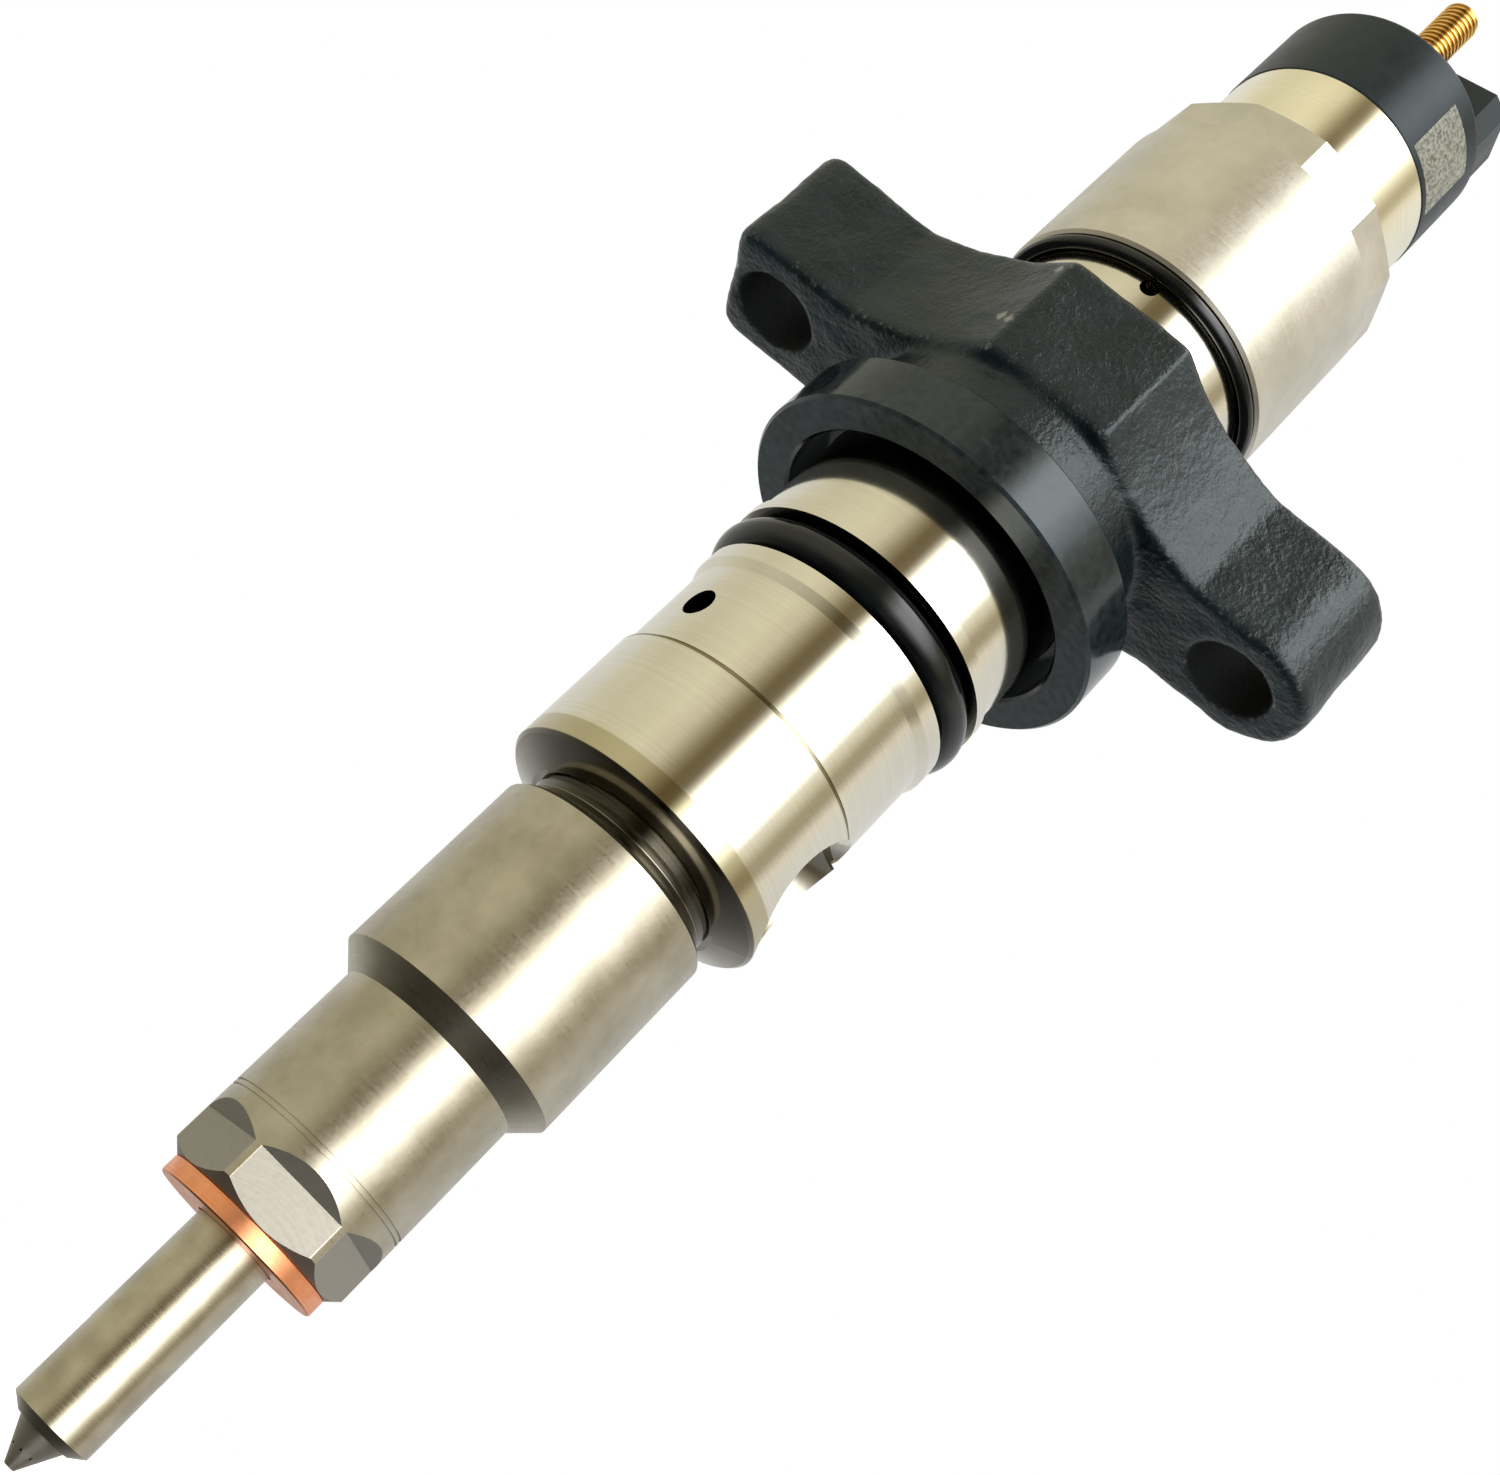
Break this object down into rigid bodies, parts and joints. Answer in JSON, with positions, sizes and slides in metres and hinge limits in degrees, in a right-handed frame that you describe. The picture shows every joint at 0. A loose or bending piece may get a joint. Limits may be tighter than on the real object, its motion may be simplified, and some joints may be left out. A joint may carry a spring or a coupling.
{
  "type": "fuel injector",
  "caption": "Common-rail diesel fuel injector with copper seat washer, side inlet, solenoid with threaded terminal studs and a loose two-bolt hold-down clamp.",
  "frame": {"origin": "centre of the copper seat washer's underside, on the injector's axis, where it meets the cylinder head", "axes": "+Z along the injector from the spray tip up to the electrical terminals; +X towards the high-pressure inlet and the round-ended wing of the clamp; the square-ended wing points to -X"},
  "size_m": [0.0672, 0.037, 0.188],
  "materials": {
    "ground_steel": "ground",
    "satin_steel": "satin",
    "turned_steel": "fine turned",
    "bright_steel": "polished",
    "hard_steel": "lapped",
    "spring_steel": "drawn wire",
    "copper": "bright copper",
    "winding_copper": "enamelled wire",
    "gold_brass": "plated",
    "sintered_iron": "sintered",
    "black_cast": "blackened casting",
    "black_turned": "blackened, turned",
    "black_rubber": "glossy",
    "black_plastic": "satin moulded",
    "bobbin_plastic": "moulded",
    "seal_polymer": "moulded"
  },
  "bodies": {
    "injector": {"nozzle_body": "ground_steel", "nozzle_dowels": "hard_steel", "spring_shim": "hard_steel", "seat_washer": "copper", "nozzle_nut": "satin_steel", "injector_body": "turned_steel", "body_o_ring": "black_rubber", "valve_body": "hard_steel", "valve_seal_ring": "seal_polymer", "valve_clamp_nut": "hard_steel", "armature_guide": "hard_steel", "lift_shim": "hard_steel", "magnet_core": "sintered_iron", "coil_bobbin": "bobbin_plastic", "coil_winding": "winding_copper", "coil_leads": "winding_copper", "magnet_sleeve": "bright_steel", "spring_plug": "hard_steel", "solenoid_nut": "satin_steel", "solenoid_seal_ring": "black_rubber", "terminal_cap": "black_plastic", "cap_seal_ring": "black_rubber", "terminal_studs": "gold_brass", "nozzle_spring": "spring_steel", "solenoid_spring": "spring_steel", "armature_spring": "spring_steel"},
    "needle": {"nozzle_needle": "hard_steel", "spring_seat": "hard_steel"},
    "control_piston": {"valve_piston": "hard_steel"},
    "armature": {"armature_pin": "hard_steel", "armature_plate": "hard_steel"},
    "valve_ball_group": {"valve_ball": "hard_steel", "ball_guide": "hard_steel"},
    "thrust_ring": {"clamp_thrust_ring": "black_turned"},
    "clamp": {"hold_down_clamp": "black_cast"}
  },
  "joints": [
    {"name": "needle_lift", "type": "slide", "parent": "injector", "child": "needle", "axis": [0, 0, 1], "range_m": [0, 0.0003], "stiffness_N_per_m": 20000, "springref_m": -0.0015, "deforming": ["nozzle_spring"]},
    {"name": "control_piston_lift", "type": "slide", "parent": "injector", "child": "control_piston", "axis": [0, 0, 1], "range_m": [0, 0.0003]},
    {"name": "armature_lift", "type": "slide", "parent": "injector", "child": "armature", "axis": [0, 0, 1], "range_m": [0, 0.00006], "stiffness_N_per_m": 20000, "springref_m": -0.0015, "deforming": ["solenoid_spring", "armature_spring"]},
    {"name": "valve_ball_lift", "type": "slide", "parent": "injector", "child": "valve_ball_group", "axis": [0, 0, 1], "range_m": [0, 0.00006]},
    {"name": "clamp_slide", "type": "slide", "parent": "injector", "child": "thrust_ring", "axis": [0, 0, 1], "range_m": [-0.0108, 0.0049]},
    {"name": "clamp_turn", "type": "hinge", "parent": "thrust_ring", "child": "clamp", "pos_m": [0, 0, 0.0911], "axis": [0, 0, 1], "continuous": true}
  ],
  "couplings": [
    {"joint": "control_piston_lift", "follows": "needle_lift", "ratio": 1},
    {"joint": "valve_ball_lift", "follows": "armature_lift", "ratio": 1}
  ]
}
